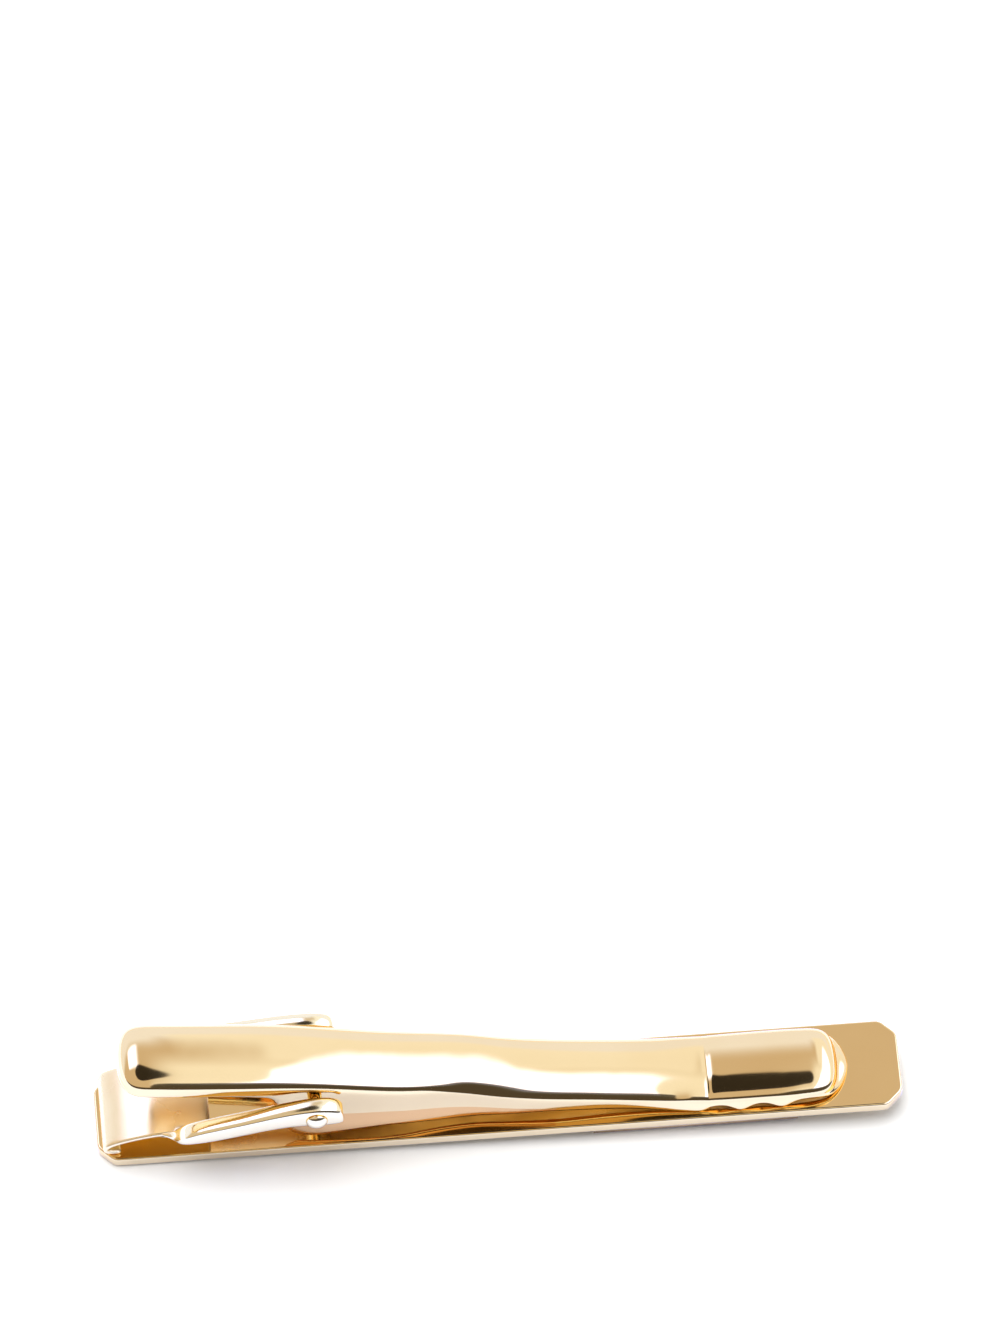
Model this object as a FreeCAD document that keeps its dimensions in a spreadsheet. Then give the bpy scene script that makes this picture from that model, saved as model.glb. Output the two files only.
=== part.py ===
import FreeCAD, Part
import math
import os
import re
import Sketcher

# A pinch-lever tie clip, lying on its decorated front with its lever side up.
# +X runs from the thumb end to the jaw, +Y across the bar, +Z from the front to the lever side.
# The origin lies under the middle of the part, on the plane that its front rests on.
# "Reach" is measured along X from the thumb end of the bar, "height" from the back face of the bar.

SIZES = (
    # The flat bar that shows on the tie
    ("bar_length", "57.5"),
    ("bar_width", "7.0"),
    ("bar_thickness", "0.9"),
    ("bar_corner", "1.15"),
    ("bar_edge_round", "0.15"),
    # The plain plate on the front of the bar
    ("plaque_setback", "7.6"),
    ("plaque_length", "14.6"),
    ("plaque_margin", "0.2"),
    ("plaque_thickness", "0.7"),
    ("plaque_edge_round", "0.2"),
    # The pivot that joins the lever to the spring arms
    ("pivot_reach", "15.55"),
    ("pivot_height", "4.7"),
    ("pin_diameter", "1.0"),
    ("pin_head_diameter", "1.6"),
    ("pin_head_height", "0.4"),
    ("pin_clearance", "0.05"),
    # The drawn lever: thumb pad, skirts and jaw
    ("lever_reach", "1.73"),
    ("lever_setback", "3.95"),
    ("lever_sheet", "0.45"),
    ("lever_edge_round", "1.0"),
    ("pad_margin", "0.78"),
    ("pad_corner_share", "0.735"),
    ("pad_height", "8.75"),
    ("pad_bend_lead", "1.05"),
    ("pad_fall", "1.4"),
    ("pad_bend_run", "2.6"),
    ("neck_lead", "5.05"),
    ("neck_lag", "0.95"),
    ("neck_run", "1.5"),
    ("waist_margin", "0.95"),
    ("waist_share", "0.558"),
    ("waist_rise", "1.74"),
    ("waist_run", "2.6"),
    ("splay_length", "4.6"),
    ("splay_run", "1.5"),
    ("jaw_length", "9.95"),
    ("crease_run", "0.3"),
    ("jaw_margin", "0.58"),
    ("jaw_height", "1.53"),
    ("jaw_corner_share", "0.753"),
    ("rim_depth", "1.43"),
    ("skirt_top_rise", "0.4"),
    ("heel_lead", "2.45"),
    ("heel_round", "1.6"),
    ("heel_clearance", "0.15"),
    ("arch_share", "0.622"),
    ("arch_height", "0.55"),
    ("jaw_gap", "0.03"),
    ("tooth_lead", "0.7"),
    ("tooth_pitch", "2.95"),
    ("tooth_depth", "0.5"),
    ("tooth_tip", "0.7"),
    ("tip_lift", "0.55"),
    ("tip_lift_run", "0.9"),
    # The bent spring sheet: foot, bend, leaf, tongue and arms
    ("spring_sheet", "0.45"),
    ("spring_margin", "0.3"),
    ("foot_gap", "5.5"),
    ("bend_reach", "0.35"),
    ("knee_height", "1.45"),
    ("leaf_reach", "3.0"),
    ("leaf_height", "2.48"),
    ("foot_inner_round", "0.1"),
    ("knee_inner_round", "0.4"),
    ("crest_inner_round", "2.5"),
    ("tongue_reach", "8.2"),
    ("tongue_length", "1.7"),
    ("slit_width", "0.75"),
    ("arm_root_lap", "1.2"),
    ("arm_clearance", "0.12"),
    ("arm_root_width", "0.6"),
    ("arm_root_depth", "0.6"),
    ("arm_rise_run", "0.4"),
    ("arm_rise_width", "1.6"),
    ("arm_rise_height", "1.87"),
    ("arm_rise_depth", "1.45"),
    ("arm_end_width", "1.42"),
    ("arm_end_depth", "2.15"),
    ("arm_crown", "1.3"),
    ("arm_level_run", "0.95"),
    ("arm_overhang", "2.0"),
    ("arm_fold_round", "0.3"),
    ("arm_end_round", "0.9"),
    # How far every cut runs past the face that it starts from
    ("overrun", "0.5"),
)
TEETH = 3
NEAR = 1e-6
# Half widths: every piece keeps a margin to the edges of the bar
PLAQUE_HALF = "(bar_width / 2 - plaque_margin)"
SPRING_HALF = "(bar_width / 2 - spring_margin)"
PAD_HALF = "(bar_width / 2 - pad_margin)"
WAIST_HALF = "(bar_width / 2 - waist_margin)"
JAW_HALF = "(bar_width / 2 - jaw_margin)"
# The arms stand just clear of the thumb pad that swings between them
ARM_INNER = f"({PAD_HALF} + arm_clearance)"
# Reaches: the jaw is measured from the end of the bar, the heel and the bends from the pivot
LEVER_END = "(bar_length - lever_setback)"
CREASE = f"({LEVER_END} - jaw_length)"
HEEL = "(pivot_reach - heel_lead)"
SLIT = "(tongue_reach - tongue_length)"

doc = FreeCAD.newDocument("tie_clip")
sheet = doc.addObject("Spreadsheet::Sheet", "sizes")
for row, (alias, number) in enumerate(SIZES, start=1):
    sheet.set(f"A{row}", alias)
    sheet.set(f"B{row}", number)
    sheet.setAlias(f"B{row}", alias)
doc.recompute()
ALIASES = {alias for alias, number in SIZES}


def bound(text):
    """Write a sum of size names as an expression on the sheet."""
    return re.sub(r"[a-z_]+", lambda word: f"sizes.{word[0]}" if word[0] in ALIASES else word[0], text)


def value(text):
    """The number that a sum of size names gives now."""
    return float(sheet.evalExpression(re.sub(r"sizes\.", "", bound(text))))


def new_body(label, reach="0", height="0"):
    """A named body whose own origin stands at a reach and a height on the part."""
    body = doc.addObject("PartDesign::Body", label)
    body.Label = label
    body.setExpression("Placement.Base.x", bound(f"{reach} - bar_length / 2"))
    body.setExpression("Placement.Base.z", bound(f"plaque_thickness + bar_thickness + {height}"))
    return body


def new_sketch(body, role, name, offset=None):
    """A sketch on one of the body's origin planes, moved along its normal if an offset is given."""
    sketch = body.newObject("Sketcher::SketchObject", name)
    plane = [item for item in body.Origin.OriginFeatures if item.Role == role][0]
    sketch.AttachmentSupport = [(plane, "")]
    sketch.MapMode = "FlatFace"
    if offset:
        sketch.setExpression("AttachmentOffset.Base.z", bound(offset))
    return sketch


def bind(sketch, constraint, text):
    """Add a constraint and bind its value to a sum of size names."""
    index = sketch.addConstraint(constraint)
    sketch.setExpression(f"Constraints[{index}]", bound(text))


def arc_between(start, end, radius, leftward):
    """The short arc between two points, its centre on the left or right of the way between them."""
    middle = (start + end) * 0.5
    half = (end - start) * 0.5
    side = FreeCAD.Vector(-half.y, half.x, 0) if leftward else FreeCAD.Vector(half.y, -half.x, 0)
    side.normalize()
    centre = middle + side * math.sqrt(radius ** 2 - half.Length ** 2)
    first, last = (start, end) if leftward else (end, start)
    angles = [math.atan2(point.y - centre.y, point.x - centre.x) for point in (first, last)]
    return Part.ArcOfCircle(Part.Circle(centre, FreeCAD.Vector(0, 0, 1), radius), *angles)


def toward(corner, other, run):
    """The point at a distance from one corner on the straight way to another, as sums."""
    steps = [f"(({b}) - ({a}))" for a, b in zip(corner, other)]
    way = f"sqrt({steps[0]}^2 + {steps[1]}^2)"
    return tuple(f"({a}) + {run} * {step} / {way}" for a, step in zip(corner, steps))


def bend_radius(before, corner, after, run):
    """The radius of the arc that touches both sides of a corner at the same run from it, as a sum."""
    start, end = toward(corner, before, run), toward(corner, after, run)
    half = f"(sqrt((({end[0]}) - ({start[0]}))^2 + (({end[1]}) - ({start[1]}))^2) / 2)"
    return f"({run} * {half} / sqrt({run}^2 - {half}^2))"


def draw_outline(sketch, corners, arcs=None):
    """Draw a closed outline through corners given as sums; arcs gives the rounded sides by number."""
    arcs = arcs or {}
    spots = [FreeCAD.Vector(value(x), value(y), 0) for x, y in corners]
    ends = []
    for number, start in enumerate(spots):
        end = spots[(number + 1) % len(spots)]
        if number in arcs:
            radius, leftward = arcs[number]
            index = sketch.addGeometry(arc_between(start, end, value(radius), leftward))
            ends.append((index, 1, 2) if leftward else (index, 2, 1))
            bind(sketch, Sketcher.Constraint("Radius", index, value(radius)), radius)
        else:
            index = sketch.addGeometry(Part.LineSegment(start, end))
            ends.append((index, 1, 2))
    for number, (index, first, last) in enumerate(ends):
        after, after_first = ends[(number + 1) % len(ends)][:2]
        sketch.addConstraint(Sketcher.Constraint("Coincident", index, last, after, after_first))
        x, y = corners[number]
        bind(sketch, Sketcher.Constraint("DistanceX", -1, 1, index, first, spots[number].x), x)
        bind(sketch, Sketcher.Constraint("DistanceY", -1, 1, index, first, spots[number].y), y)


def draw_circle(sketch, x, y, diameter):
    """Draw a circle whose centre and diameter are sums of size names."""
    centre = FreeCAD.Vector(value(x), value(y), 0)
    circle = Part.Circle(centre, FreeCAD.Vector(0, 0, 1), value(diameter) / 2)
    index = sketch.addGeometry(circle)
    bind(sketch, Sketcher.Constraint("DistanceX", -1, 1, index, 3, centre.x), x)
    bind(sketch, Sketcher.Constraint("DistanceY", -1, 1, index, 3, centre.y), y)
    bind(sketch, Sketcher.Constraint("Diameter", index, value(diameter)), diameter)


def pad(body, sketch, name, length, symmetric=False):
    """Raise a sketch into a solid, to one side or evenly to both."""
    feature = body.newObject("PartDesign::Pad", name)
    feature.Profile = sketch
    feature.SideType = "Symmetric" if symmetric else "One side"
    feature.setExpression("Length", bound(length))
    doc.recompute()
    return feature


def pocket_across(body, sketch, name, length):
    """Cut a side-view sketch evenly to both sides, and make sure that it removed material."""
    before = body.Tip.Shape.Volume
    feature = body.newObject("PartDesign::Pocket", name)
    feature.Profile = sketch
    feature.SideType = "Symmetric"
    feature.setExpression("Length", bound(length))
    doc.recompute()
    assert feature.Shape.Volume < before, name
    return feature


def edge_names(feature, wanted):
    """The names of a feature's edges that pass a test."""
    return [f"Edge{n}" for n, edge in enumerate(feature.Shape.Edges, start=1) if wanted(edge)]


def round_edges(body, base, name, edges, radius):
    """Round the named edges of a feature."""
    assert edges, name
    feature = body.newObject("PartDesign::Fillet", name)
    feature.Base = (base, edges)
    feature.setExpression("Radius", bound(radius))
    doc.recompute()
    return feature


def crosswise_at(x, z):
    """A test for the edges that run across the part at a reach and a height."""
    spot = (value(x), value(z))
    return lambda edge: all(
        math.hypot(vertex.X - spot[0], vertex.Z - spot[1]) < NEAR for vertex in edge.Vertexes)


def level_at(z):
    """A test for the edges that lie wholly at one height."""
    height = value(z)
    return lambda edge: all(abs(vertex.Z - height) < NEAR for vertex in edge.Vertexes)


def face_normals(shape, edge):
    """The outward normals of the faces that meet at an edge, at its middle."""
    middle = edge.valueAt((edge.FirstParameter + edge.LastParameter) / 2)
    faces = shape.ancestorsOfType(edge, Part.Face)
    return [face.normalAt(*face.Surface.parameter(middle)) for face in faces]


def make_bar():
    """The flat bar with its four corners cut off."""
    body = new_body("front_bar", "bar_length / 2", "-bar_thickness")
    half, side = "bar_length / 2", "bar_width / 2"
    cut_half, cut_side = f"({half} - bar_corner)", f"({side} - bar_corner)"
    sketch = new_sketch(body, "XY_Plane", "bar_outline")
    draw_outline(sketch, [
        (cut_half, f"-{side}"), (half, f"-{cut_side}"), (half, cut_side), (cut_half, side),
        (f"-{cut_half}", side), (f"-{half}", cut_side),
        (f"-{half}", f"-{cut_side}"), (f"-{cut_half}", f"-{side}")])
    plate = pad(body, sketch, "bar_plate", "bar_thickness")
    rims = edge_names(plate, level_at("0")) + edge_names(plate, level_at("bar_thickness"))
    round_edges(body, plate, "bar_rims", rims, "bar_edge_round")
    return body


def make_plaque():
    """The plain plate on the front of the bar, its front edges rounded."""
    body = new_body(
        "front_plaque", "bar_length - plaque_setback", "-bar_thickness - plaque_thickness")
    sketch = new_sketch(body, "XY_Plane", "plaque_outline")
    draw_outline(sketch, [
        ("-plaque_length", f"-{PLAQUE_HALF}"), ("0", f"-{PLAQUE_HALF}"),
        ("0", PLAQUE_HALF), ("-plaque_length", PLAQUE_HALF)])
    plate = pad(body, sketch, "plaque_plate", "plaque_thickness")
    round_edges(body, plate, "plaque_rim", edge_names(plate, level_at("0")), "plaque_edge_round")
    return body


def eased_outline(corners):
    """Replace each corner that has a run by the two ends of an arc; give the points and the arcs."""
    points, arcs = [], {}
    for number, (x, y, run) in enumerate(corners):
        corner, before, after = (x, y), corners[number - 1][:2], corners[(number + 1) % len(corners)][:2]
        if not run:
            points.append(corner)
            continue
        spots = [FreeCAD.Vector(value(a), value(b), 0) for a, b in (before, corner, after)]
        leftward = (spots[1] - spots[0]).cross(spots[2] - spots[1]).z > 0
        arcs[len(points)] = (bend_radius(before, corner, after, run), leftward)
        points += [toward(corner, before, run), toward(corner, after, run)]
    return points, arcs


def make_lever():
    """The drawn channel: a block shaped from above and the side, rounded, hollowed and trimmed."""
    body = new_body("jaw_lever")
    one_side = [
        (LEVER_END, JAW_HALF, f"(jaw_corner_share * {JAW_HALF})"),
        (CREASE, JAW_HALF, "splay_run"), (f"{CREASE} - splay_length", WAIST_HALF, "splay_run"),
        ("pivot_reach + neck_lag", WAIST_HALF, "neck_run"),
        ("pivot_reach - neck_lead", PAD_HALF, "neck_run"),
        ("lever_reach", PAD_HALF, f"(pad_corner_share * {PAD_HALF})")]
    other_side = [(x, f"-{y}", run) for x, y, run in reversed(one_side)]
    plan = new_sketch(body, "XY_Plane", "lever_plan", "jaw_gap")
    draw_outline(plan, *eased_outline(one_side + other_side))
    block = pad(body, plan, "lever_block", "pad_height - jaw_gap")
    crown = new_sketch(body, "XZ_Plane", "lever_crown")
    above = "pad_height + overrun"
    waist = f"pivot_reach + waist_share * ({CREASE} - pivot_reach)"
    draw_outline(crown, *eased_outline([
        (f"{LEVER_END} + overrun", above, None), ("lever_reach", above, None),
        ("lever_reach", "pad_height", None),
        ("pivot_reach - pad_bend_lead", "pad_height - pad_fall", "pad_bend_run"),
        (waist, "jaw_height + waist_rise", "waist_run"), (CREASE, "jaw_height", "crease_run"),
        (f"{LEVER_END} + overrun", "jaw_height", None)]))
    shape = pocket_across(body, crown, "lever_top", "bar_width")

    def on_top_rim(edge):
        heights = sorted(normal.z for normal in face_normals(shape.Shape, edge))
        return abs(heights[0]) < NEAR and heights[-1] > NEAR

    top = round_edges(body, shape, "lever_rim", edge_names(shape, on_top_rim), "lever_edge_round")
    underside = [f"Face{n}" for n, face in enumerate(top.Shape.Faces, start=1)
                 if face.BoundBox.ZMax < value("jaw_gap") + NEAR]
    hollow = body.newObject("PartDesign::Thickness", "lever_hollow")
    hollow.Base = (top, underside)
    hollow.Reversed = True
    hollow.Join = "Intersection"
    hollow.setExpression("Value", bound("lever_sheet"))
    doc.recompute()
    assert hollow.Shape.Volume < top.Shape.Volume

    trim = new_sketch(body, "XZ_Plane", "skirt_trim")
    below = "(jaw_gap - overrun)"
    corners = [
        ("lever_reach - overrun", below),
        ("lever_reach - overrun", "pad_height - rim_depth"),
        ("lever_reach", "pad_height - rim_depth"),
        (HEEL, "pivot_height + skirt_top_rise"),
        (HEEL, "heel_clearance + heel_round"),
        (f"{HEEL} + heel_round", "heel_clearance"),
        (f"pivot_reach + arch_share * ({CREASE} - pivot_reach)", "arch_height")]
    arcs = {4: ("heel_round", True)}
    scallop = "((tooth_pitch - tooth_tip)^2 / 4 + tooth_depth^2) / (2 * tooth_depth)"
    for tooth in range(TEETH):
        place = f"{CREASE} - tooth_lead + {tooth} * tooth_pitch"
        corners.append((f"{place} - tooth_tip / 2", "jaw_gap"))
        corners.append((f"{place} + tooth_tip / 2", "jaw_gap"))
        if tooth + 1 < TEETH:
            arcs[len(corners) - 1] = (scallop, False)
    last_tip = corners[-1][0]
    corners += [
        (f"{last_tip} + tip_lift_run", "jaw_gap + tip_lift"),
        (f"{LEVER_END} + overrun", "jaw_gap + tip_lift"),
        (f"{LEVER_END} + overrun", below)]
    draw_outline(trim, corners, arcs)
    pocket_across(body, trim, "skirt_cut", "bar_width")

    holes = new_sketch(body, "XZ_Plane", "lever_pivot")
    draw_circle(holes, "pivot_reach", "pivot_height", "(pin_diameter + 2 * pin_clearance)")
    pocket_across(body, holes, "lever_holes", "bar_width")
    return body


def arm_section(body, name, reach, width, top, depth):
    """The angle-shaped section of an arm: a level flange and an outer wall that hangs from it."""
    sketch = new_sketch(body, "YZ_Plane", name, reach)
    outer = f"({ARM_INNER} + {width})"
    wall, under = f"{outer} - spring_sheet", f"{top} - spring_sheet"
    draw_outline(sketch, *eased_outline([
        (ARM_INNER, under, None), (wall, under, None),
        (wall, f"{top} - {depth}", None), (outer, f"{top} - {depth}", None),
        (outer, top, "arm_fold_round"), (ARM_INNER, top, None)]))
    return sketch


def make_bracket():
    """The bent spring sheet, with a tongue and two flared arms cut free from its leaf."""
    body = new_body("spring_bracket")
    slope = "((leaf_height - knee_height) / (leaf_reach - bend_reach))"
    lean = f"sqrt(1 + {slope}^2)"
    foot_end = f"{HEEL} - foot_gap"
    inner_knee = f"knee_height - spring_sheet * ({lean} - {slope})"
    inner_leaf = f"leaf_reach + spring_sheet * ({lean} - 1) / {slope}"
    profile = new_sketch(body, "XZ_Plane", "spring_profile")
    draw_outline(profile, [
        (foot_end, "0"), (foot_end, "spring_sheet"),
        ("bend_reach + spring_sheet", "spring_sheet"), ("bend_reach + spring_sheet", inner_knee),
        (inner_leaf, "leaf_height - spring_sheet"), ("tongue_reach", "leaf_height - spring_sheet"),
        ("tongue_reach", "leaf_height"), ("leaf_reach", "leaf_height"),
        ("bend_reach", "knee_height"), ("bend_reach", "0")])
    shape = pad(body, profile, "spring_strip", f"2 * {SPRING_HALF}", symmetric=True)
    for name, outside, inside in (
            ("foot", ("bend_reach", "0"), ("bend_reach + spring_sheet", "spring_sheet")),
            ("knee", ("bend_reach", "knee_height"), ("bend_reach + spring_sheet", inner_knee)),
            ("crest", ("leaf_reach", "leaf_height"), (inner_leaf, "leaf_height - spring_sheet"))):
        inner_edges = edge_names(shape, crosswise_at(*inside))
        shape = round_edges(body, shape, f"{name}_inside", inner_edges, f"{name}_inner_round")
        outer_edges = edge_names(shape, crosswise_at(*outside))
        outer_round = f"{name}_inner_round + spring_sheet"
        shape = round_edges(body, shape, f"{name}_outside", outer_edges, outer_round)

    slits = new_sketch(body, "XY_Plane", "slit_outline", "leaf_height + overrun")
    tongue_side, past_side = f"({SPRING_HALF} - slit_width)", f"({SPRING_HALF} + overrun)"
    for near, far in ((tongue_side, past_side), (f"-{past_side}", f"-{tongue_side}")):
        draw_outline(slits, [
            (SLIT, near), ("tongue_reach + overrun", near),
            ("tongue_reach + overrun", far), (SLIT, far)])
    cut = body.newObject("PartDesign::Pocket", "slits")
    cut.Profile = slits
    cut.setExpression("Length", bound("spring_sheet + 2 * overrun"))
    doc.recompute()
    assert cut.Shape.Volume < shape.Shape.Volume

    crown = "(pivot_height + arm_crown)"
    root = ("arm_root_width", "leaf_height", "arm_root_depth")
    rise = ("arm_rise_width", "(leaf_height + arm_rise_height)", "arm_rise_depth")
    end = ("arm_end_width", crown, "arm_end_depth")
    sections = [
        arm_section(body, "arm_root", f"{SLIT} - arm_root_lap", *root),
        arm_section(body, "arm_rise", f"{SLIT} + arm_rise_run", *rise),
        arm_section(body, "arm_level", "pivot_reach - arm_level_run", *end),
        arm_section(body, "arm_end", "pivot_reach + arm_overhang", *end)]
    arm = body.newObject("PartDesign::AdditiveLoft", "arm")
    arm.Profile = sections[0]
    arm.Sections = sections[1:]
    arm.Ruled = True
    doc.recompute()
    twin = body.newObject("PartDesign::Mirrored", "arm_twin")
    twin.Originals = [arm]
    twin.MirrorPlane = ([item for item in body.Origin.OriginFeatures if item.Role == "XZ_Plane"][0], [""])
    body.Tip = twin
    doc.recompute()
    assert twin.Shape.Volume > arm.Shape.Volume

    end_reach, wall_foot = value("pivot_reach + arm_overhang"), value(f"{crown} - arm_end_depth")
    inner_side = value(ARM_INNER)

    def at_arm_end(edge):
        middle, way = edge.CenterOfMass, edge.tangentAt(edge.FirstParameter)
        foot_corner = abs(middle.z - wall_foot) < NEAR and abs(way.y) > 1 - NEAR
        flange_corner = abs(abs(middle.y) - inner_side) < NEAR and abs(way.z) > 1 - NEAR
        return abs(middle.x - end_reach) < NEAR and (foot_corner or flange_corner)

    round_edges(body, twin, "arm_ends", edge_names(twin, at_arm_end), "arm_end_round")
    holes = new_sketch(body, "XZ_Plane", "arm_pivot")
    draw_circle(holes, "pivot_reach", "pivot_height", "pin_diameter")
    pocket_across(body, holes, "arm_holes", f"2 * ({ARM_INNER} + arm_end_width) + overrun")
    return body


def make_pin():
    """The pivot pin: a plain shank between two domed heads that sit on the arms."""
    body = new_body("pivot_pin", "pivot_reach", "pivot_height")
    shoulder = f"({ARM_INNER} + arm_end_width)"
    shank, head = "pin_diameter / 2", "pin_head_diameter / 2"
    dome = f"(({head})^2 + pin_head_height^2) / (2 * pin_head_height)"
    sketch = new_sketch(body, "XY_Plane", "pin_profile")
    draw_outline(sketch, [
        ("0", f"-{shoulder} - pin_head_height"), (head, f"-{shoulder}"), (shank, f"-{shoulder}"),
        (shank, shoulder), (head, shoulder), ("0", f"{shoulder} + pin_head_height")],
        {0: (dome, True), 4: (dome, True)})
    turned = body.newObject("PartDesign::Revolution", "pin_turned")
    turned.Profile = sketch
    turned.ReferenceAxis = (sketch, ["V_Axis"])
    doc.recompute()
    return body


bodies = [make_bar(), make_plaque(), make_bracket(), make_lever(), make_pin()]
doc.recompute()
failed = [item.Label for item in doc.Objects if {"Invalid", "Error"} & set(item.State)]
assert not failed, failed
os.makedirs("parts", exist_ok=True)
for body in bodies:
    shape = body.Shape
    assert not shape.isNull() and shape.isValid() and len(shape.Solids) == 1, body.Label
    box = shape.BoundBox
    lengths = " x ".join(f"{length:.2f}" for length in (box.XLength, box.YLength, box.ZLength))
    print(f"{body.Label}: volume {shape.Volume:.2f} mm3, box {lengths}, z {box.ZMin:.2f} to {box.ZMax:.2f}")
    shape.exportStep(f"parts/{body.Label}.step")
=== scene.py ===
# %% [markdown]
# # A pinch-lever tie clip, dressed for its portrait
# The clip is five pieces of gold-plated brass: a flat bar, a plate on its front, a bent spring bracket,
# a drawn lever with a toothed jaw, and a pivot pin. The measured solids come first, because every piece
# made here has to lie where they lie.

# %% Load the measured solids
import math
import bmesh
import bpy
from mathutils import Matrix, Vector


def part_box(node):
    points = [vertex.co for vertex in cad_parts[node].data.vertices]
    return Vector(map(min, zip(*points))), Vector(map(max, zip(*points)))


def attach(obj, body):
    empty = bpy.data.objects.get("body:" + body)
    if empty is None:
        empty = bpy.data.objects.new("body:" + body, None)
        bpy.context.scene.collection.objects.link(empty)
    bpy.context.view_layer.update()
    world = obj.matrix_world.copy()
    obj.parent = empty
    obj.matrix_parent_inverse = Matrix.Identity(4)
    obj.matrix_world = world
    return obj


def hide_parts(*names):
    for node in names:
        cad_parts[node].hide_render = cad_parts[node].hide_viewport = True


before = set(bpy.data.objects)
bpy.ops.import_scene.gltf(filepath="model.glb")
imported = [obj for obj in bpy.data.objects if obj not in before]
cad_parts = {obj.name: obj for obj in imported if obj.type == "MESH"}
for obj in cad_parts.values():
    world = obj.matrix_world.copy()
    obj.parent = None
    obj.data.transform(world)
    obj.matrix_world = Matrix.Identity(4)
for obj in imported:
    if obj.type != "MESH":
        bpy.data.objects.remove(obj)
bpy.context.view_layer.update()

MM = 0.001
bar_low, bar_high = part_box("front_bar")

# %% [markdown]
# ## The camera
# The clip lies on a table and is seen from well above, a little from its thumb end, through a long lens
# that hardly narrows the far side. A long lens far away gives that flat perspective. The camera looks at
# a point behind the clip, so the clip sits low in a tall picture and no lens shift is needed.

# %% Set up the camera
TOWARD_CAMERA = Vector((-0.0443, -0.5281, 0.8480)).normalized()
AIM = Vector((3.12, 35.38, 1.6)) * MM
# Metres
DISTANCE, CLIP_END = 1.0, 20
LENS_MM, SENSOR_MM = 371.8, 36
camera = bpy.data.objects.new("portrait_camera", bpy.data.cameras.new("portrait_camera"))
camera.data.lens = LENS_MM
camera.data.sensor_width = SENSOR_MM
camera.data.clip_end = CLIP_END
camera.location = AIM + TOWARD_CAMERA * DISTANCE
camera.rotation_euler = TOWARD_CAMERA.to_track_quat("Z", "Y").to_euler()
bpy.context.scene.collection.objects.link(camera)
bpy.context.scene.camera = camera
bpy.context.scene.view_settings.view_transform = "Standard"
print("camera at", [round(c, 3) for c in camera.location])

# %% [markdown]
# ## Nodes and colours
# A finish is a short chain of shader nodes. One helper adds a node, sets its sockets and wires what goes
# into it. Colours are written as sRGB hex values, as a paint chart gives them, and Blender wants linear
# light, so one function converts them.

# %% Helpers for finishes
def linear(hex_colour, strength=1.0):
    """An sRGB hex colour as linear red, green, blue and alpha."""
    parts = [int(hex_colour[i:i + 2], 16) / 255 for i in (1, 3, 5)]
    curved = [c / 12.92 if c <= 0.04045 else ((c + 0.055) / 1.055) ** 2.4 for c in parts]
    return [c * strength for c in curved] + [1.0]


def add_node(tree, kind, settings=None, inputs=None):
    """Add a node: settings are its own properties, inputs are socket values or the outputs to link."""
    node = tree.nodes.new(kind)
    for name, value in (settings or {}).items():
        setattr(node, name, value)
    for socket, value in (inputs or {}).items():
        if isinstance(value, bpy.types.NodeSocket):
            tree.links.new(value, node.inputs[socket])
        else:
            node.inputs[socket].default_value = value
    return node


def new_material(name):
    """An empty material with its tree and output node."""
    material = bpy.data.materials.new(name)
    material.use_nodes = True
    material.node_tree.nodes.clear()
    return material, material.node_tree, add_node(material.node_tree, "ShaderNodeOutputMaterial")


print("gold in linear light:", [round(c, 3) for c in linear("#F2CE8E")])

# %% [markdown]
# ## The gilt finishes
# The brass is polished to a mirror and gold plated. A mirror in metal is nearly all reflection, so the
# colour is only a tint and the life of the surface comes from small faults: the polishing wheel leaves
# the sheet faintly wavy, handling leaves hairlines, and the plating is a touch duller in places.
# Not every face gets the wheel. The spring sheet is only tumbled and is plated paler, and its arms are
# rubbed bright by hand. The foot of the lever's skirt is rougher and a browner gold, and that brown is
# painted shade, for the shaded table that the foot mirrors. The insides are raw sheet with a flash of gold,
# painted paler and brighter as painted light, so that the hollows don't go dark, and the plate on the front
# is satin. All of them are one recipe with other colours, roughness and depths of fault.

# %% Make the gilt finishes
# Clouds in the plating: their size, the noise that counts as clear and as cloudy, and what that does to the
# roughness
CLOUD_MM, CLEAR, CLOUDY = 6.0, 0.3, 0.75
SHINIEST, DULLEST = 0.75, 1.5
# Real hairlines are a few microns wide; these are drawn 0.06 mm wide with 0.06 mm between, so that they show
HAIRLINE_MM, HAIRLINE_STRETCH = 0.12, 25
GRAZING_TINT = "#FFEFD2"


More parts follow.
